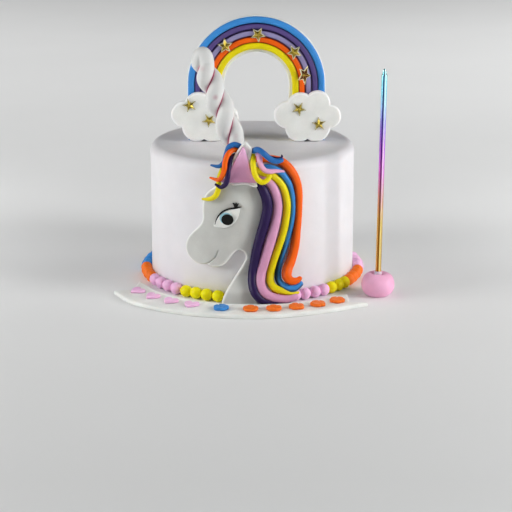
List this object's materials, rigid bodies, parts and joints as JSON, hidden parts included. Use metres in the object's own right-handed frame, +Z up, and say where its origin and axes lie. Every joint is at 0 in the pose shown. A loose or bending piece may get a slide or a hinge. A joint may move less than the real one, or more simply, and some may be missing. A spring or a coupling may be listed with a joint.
{
  "type": "birthday cake with candle",
  "caption": "Round iced birthday cake with a unicorn on its side, a rainbow with clouds and a twisted horn on top, an icing banner in front and a long candle beside it.",
  "frame": {"origin": "centre of the cake's round bottom face, on the surface it stands on", "axes": "+Z up through the middle of the cake, -Y towards the front with the unicorn and the banner, +X to the right seen from the front, where the candle stands"},
  "size_m": [0.2204, 0.2161, 0.2097],
  "materials": {
    "icing_white": "satin rolled sugar icing, white with a faint lilac cast",
    "icing_grey": "satin sugar paste, very pale warm grey",
    "icing_pink": "satin sugar paste, soft pink",
    "icing_blue": "satin sugar paste, strong blue",
    "icing_purple": "satin sugar paste, deep purple",
    "icing_lilac": "satin sugar paste, lilac",
    "icing_orange": "satin sugar paste, bright orange",
    "icing_yellow": "satin sugar paste, bright lemon yellow",
    "eye_sky_blue": "pale blue food colour, smooth",
    "eye_black": "black food colour, slightly glossy",
    "star_gold": "metallic gold, smooth and bright",
    "cup_white": "thin milky plastic, smooth",
    "candle_metallic": "metallic lacquered wax, smooth, shading from gold through magenta and violet to light blue"
  },
  "bodies": {
    "root": {"cake_body": "icing_white", "rainbow_backing": "icing_white", "cloud_left": "icing_white", "cloud_right": "icing_white", "banner": "icing_white", "horn": "icing_white", "ear_outer": "icing_white", "eye_white": "icing_white", "unicorn_head": "icing_grey", "beads_right_pink": "icing_pink", "beads_right_far_pink": "icing_pink", "beads_left_pink": "icing_pink", "ear_inner": "icing_pink", "mane_pink": "icing_pink", "top_lock_pink": "icing_pink", "heart_1": "icing_pink", "heart_2": "icing_pink", "heart_3": "icing_pink", "heart_4": "icing_pink", "icing_ball": "icing_pink", "beads_front_hidden": "icing_blue", "beads_left_blue": "icing_blue", "rainbow_blue": "icing_blue", "mane_blue": "icing_blue", "forelock_blue": "icing_blue", "top_lock_blue": "icing_blue", "blossom_blue": "icing_blue", "rainbow_purple": "icing_purple", "mane_purple": "icing_purple", "forelock_purple": "icing_purple", "rainbow_lilac": "icing_lilac", "beads_right_orange": "icing_orange", "beads_left_orange": "icing_orange", "rainbow_orange": "icing_orange", "mane_orange": "icing_orange", "forelock_orange": "icing_orange", "blossom_1": "icing_orange", "blossom_2": "icing_orange", "blossom_3": "icing_orange", "blossom_4": "icing_orange", "blossom_5": "icing_orange", "beads_front_yellow": "icing_yellow", "beads_right_yellow": "icing_yellow", "beads_back": "icing_yellow", "rainbow_yellow": "icing_yellow", "mane_yellow": "icing_yellow", "forelock_yellow": "icing_yellow", "top_lock_yellow": "icing_yellow", "eye_iris": "eye_sky_blue", "eye_pupil": "eye_black", "star_rainbow_1": "star_gold", "star_rainbow_2": "star_gold", "star_rainbow_3": "star_gold", "star_rainbow_4": "star_gold", "star_cloud_1": "star_gold", "star_cloud_2": "star_gold", "star_cloud_3": "star_gold", "star_cloud_4": "star_gold", "candle_cup": "cup_white", "candle": "candle_metallic"}
  },
  "joints": []
}
